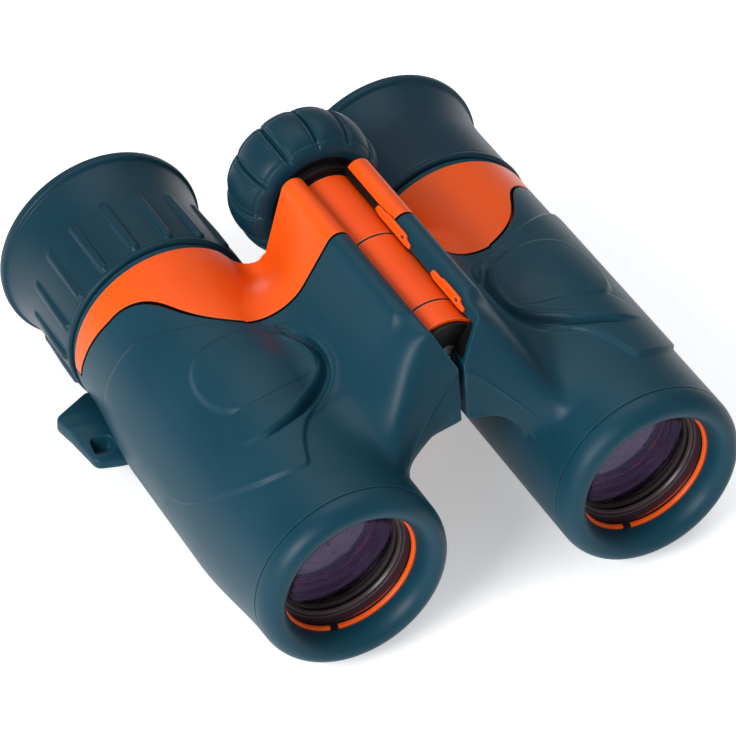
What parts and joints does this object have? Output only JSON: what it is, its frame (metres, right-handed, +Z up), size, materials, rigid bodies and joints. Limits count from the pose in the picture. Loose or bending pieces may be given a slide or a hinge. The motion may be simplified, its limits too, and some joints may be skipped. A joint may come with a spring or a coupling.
{
  "type": "toy binoculars",
  "caption": "Toy binoculars with rubber-armoured roof prism barrels on a folding centre hinge, a centre focus knob, a ribbed dioptre eyecup and strap lugs.",
  "frame": {"origin": "centre of the footprint on the surface that the binoculars lie on", "axes": "+Y from the objectives to the eyecups, +Z up to the hinge, +X to the user's left barrel seen from the objectives"},
  "size_m": [0.0982, 0.101, 0.0542],
  "materials": {
    "orange_plastic": "satin moulded orange",
    "teal_rubber": "matte soft-touch dark teal",
    "dark_teal_rubber": "matte soft-touch very dark teal",
    "dark_teal_plastic": "matte moulded very dark teal",
    "black_plastic": "matte moulded black",
    "bronze_ring": "satin brown-grey",
    "steel": "turned steel",
    "lens_glass": "coated, polished",
    "prism_glass": "ground and polished"
  },
  "bodies": {
    "right_half": {"right_housing": "orange_plastic", "right_armour": "teal_rubber", "right_cowl": "orange_plastic", "right_bumper": "teal_rubber", "right_front_ring": "orange_plastic", "right_strap_lug": "teal_rubber", "right_prism_cage": "black_plastic", "right_prisms": "prism_glass", "right_field_stop": "black_plastic", "right_eyepiece_barrel": "dark_teal_plastic", "hinge_shaft": "steel", "hinge_cap": "black_plastic", "cap_screw": "steel", "hinge_washers": "black_plastic", "knob_neck": "black_plastic"},
    "dioptre": {"right_eyecup": "dark_teal_rubber", "dioptre_ring": "black_plastic"},
    "right_eye_unit": {"right_eye_cell": "black_plastic", "right_eye_lens": "lens_glass", "right_field_lens": "lens_glass", "right_lens_spacer": "black_plastic"},
    "right_objective": {"right_objective_cell": "black_plastic", "right_objective_lens": "lens_glass", "right_lens_ring": "bronze_ring"},
    "left_half": {"left_housing": "orange_plastic", "left_armour": "teal_rubber", "left_cowl": "orange_plastic", "left_bumper": "teal_rubber", "left_front_ring": "orange_plastic", "left_strap_lug": "teal_rubber", "left_prism_cage": "black_plastic", "left_prisms": "prism_glass", "left_field_stop": "black_plastic", "left_eyepiece_barrel": "dark_teal_plastic", "left_eyecup": "dark_teal_rubber", "left_eye_cell": "black_plastic", "left_eye_lens": "lens_glass", "left_field_lens": "lens_glass", "left_lens_spacer": "black_plastic"},
    "left_objective": {"left_objective_cell": "black_plastic", "left_objective_lens": "lens_glass", "left_lens_ring": "bronze_ring"},
    "knob": {"knob_hub": "black_plastic", "knob_grip": "dark_teal_rubber", "knob_cap": "black_plastic", "focus_screw": "steel"},
    "focus_slider": {"focus_slider": "black_plastic"}
  },
  "joints": [
    {"name": "ipd_hinge", "type": "hinge", "parent": "right_half", "child": "left_half", "pos_m": [0, 0, 0.04055], "axis": [0, -1, 0], "range_deg": [-3, 52]},
    {"name": "knob_spin", "type": "hinge", "parent": "right_half", "child": "knob", "pos_m": [0, 0, 0.04055], "axis": [0, 1, 0], "range_deg": [-180, 180]},
    {"name": "focus_slide", "type": "slide", "parent": "right_half", "child": "focus_slider", "axis": [0, 1, 0], "range_m": [-0.0012, 0.0012]},
    {"name": "right_objective_slide", "type": "slide", "parent": "right_half", "child": "right_objective", "axis": [0, 1, 0], "range_m": [-0.0012, 0.0012]},
    {"name": "left_objective_slide", "type": "slide", "parent": "left_half", "child": "left_objective", "axis": [0, 1, 0], "range_m": [-0.0012, 0.0012]},
    {"name": "dioptre_turn", "type": "hinge", "parent": "right_half", "child": "dioptre", "pos_m": [-0.028, 0, 0.01935], "axis": [0, 1, 0], "range_deg": [-30, 30]},
    {"name": "dioptre_slide", "type": "slide", "parent": "right_half", "child": "right_eye_unit", "axis": [0, 1, 0], "range_m": [-0.0008, 0.0008]}
  ],
  "couplings": [
    {"joint": "focus_slide", "follows": "knob_spin", "m_per_rad": 0.00038197},
    {"joint": "right_objective_slide", "follows": "knob_spin", "m_per_rad": 0.00038197},
    {"joint": "left_objective_slide", "follows": "knob_spin", "m_per_rad": 0.00038197},
    {"joint": "dioptre_slide", "follows": "dioptre_turn", "m_per_rad": 0.0015279}
  ]
}
